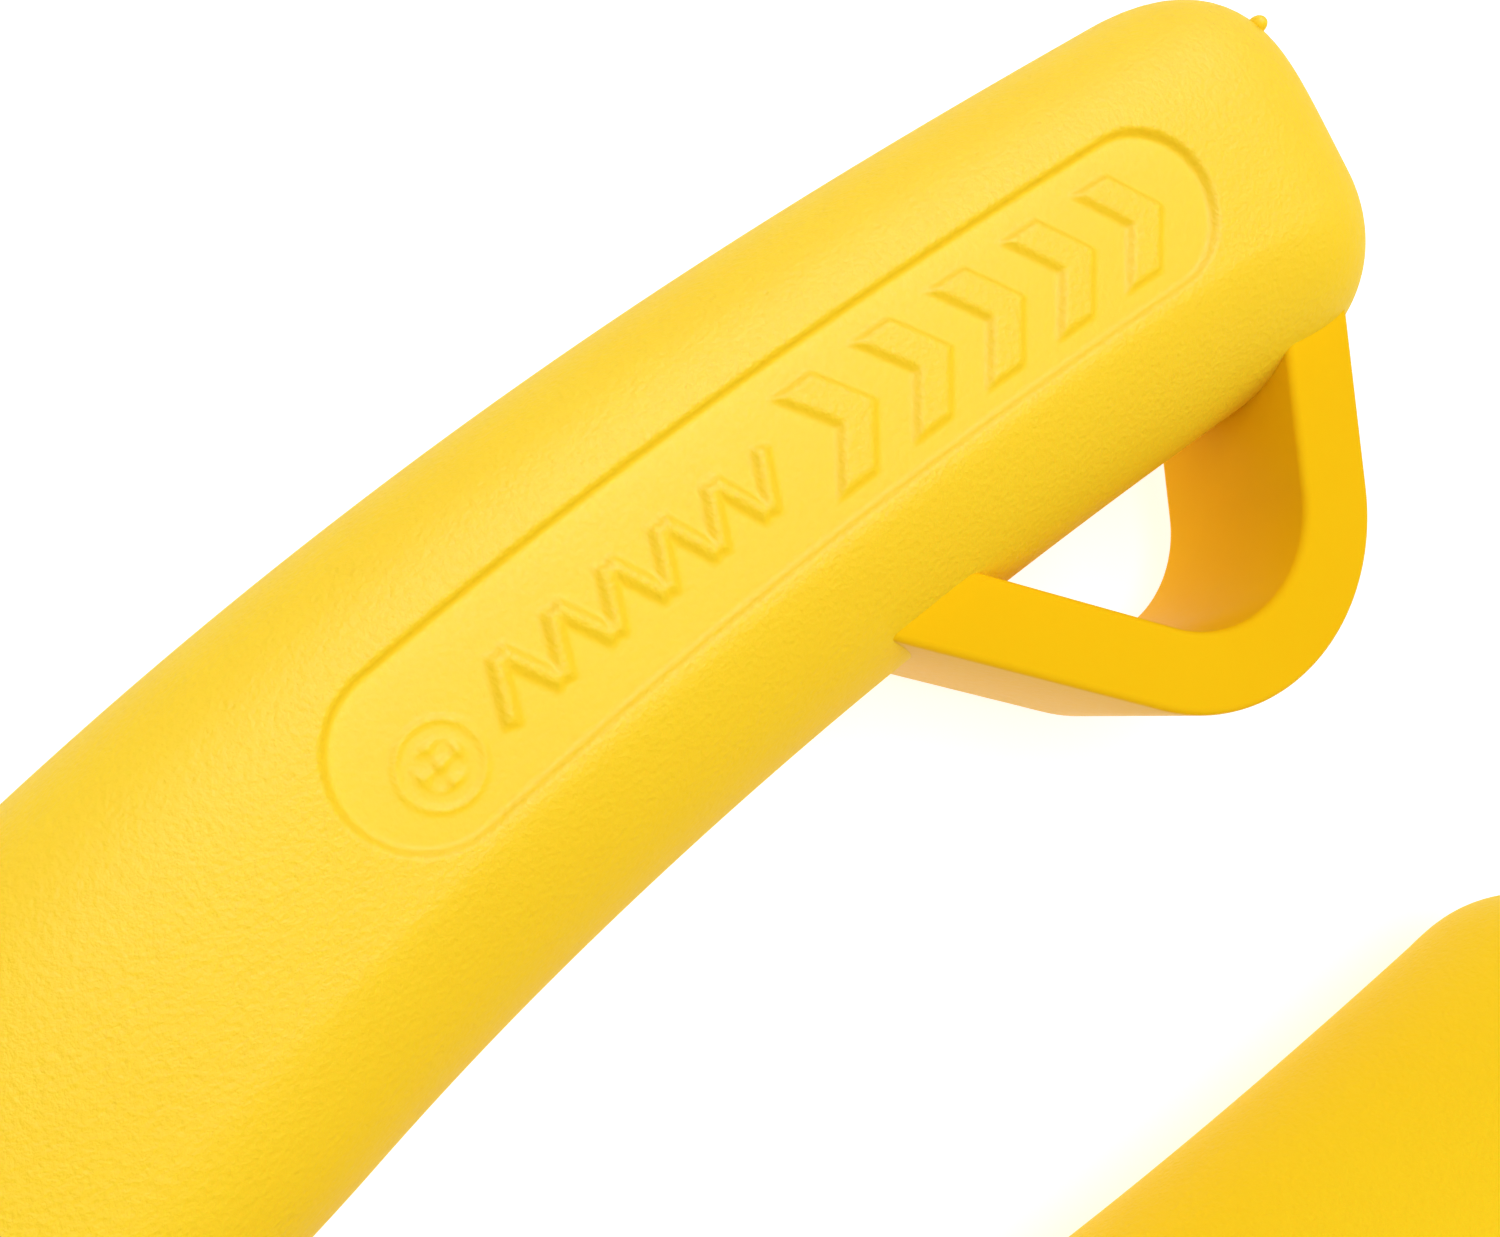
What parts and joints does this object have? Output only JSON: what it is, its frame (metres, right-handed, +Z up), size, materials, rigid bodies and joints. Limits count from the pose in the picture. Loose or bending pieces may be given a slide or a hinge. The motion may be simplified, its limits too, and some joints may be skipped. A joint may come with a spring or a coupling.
{
  "type": "thread snips",
  "caption": "Spring-opened thread snips with bowed moulded handles, a hanging eyelet under one handle end, and two pointed blades on a screw pivot.",
  "frame": {"origin": "on the surface the snips lie on, under the middle of the whole tool's box", "axes": "+X from the blade tips to the free ends of the handles, +Y towards the handle with the eyelet, +Z up, out of the face with the recessed panels"},
  "size_m": [0.1328, 0.0563, 0.0136],
  "materials": {
    "handle": "fine moulded grain",
    "blade": "ground",
    "pivot": "nickel plated",
    "spring": "drawn wire",
    "friction": "satin"
  },
  "bodies": {
    "fixed_side": {"handle_with_eyelet": "handle", "blade_under": "blade", "pivot_screw": "pivot", "pivot_washer": "pivot", "pivot_nut": "pivot", "spring_washer": "spring", "friction_washer": "friction", "stop_pin": "pivot", "return_spring": "spring", "spring_pin_upper": "pivot"},
    "closing_side": {"handle_plain": "handle", "blade_over": "blade", "spring_pin_lower": "pivot"}
  },
  "joints": [
    {"name": "close", "type": "hinge", "parent": "fixed_side", "child": "closing_side", "pos_m": [-0.02651, 0, 0.0068], "axis": [0, 0, 1], "range_deg": [0, 10.8], "stiffness_Nm_per_rad": 0.4, "springref_deg": -8.59, "deforming": ["return_spring"]}
  ]
}
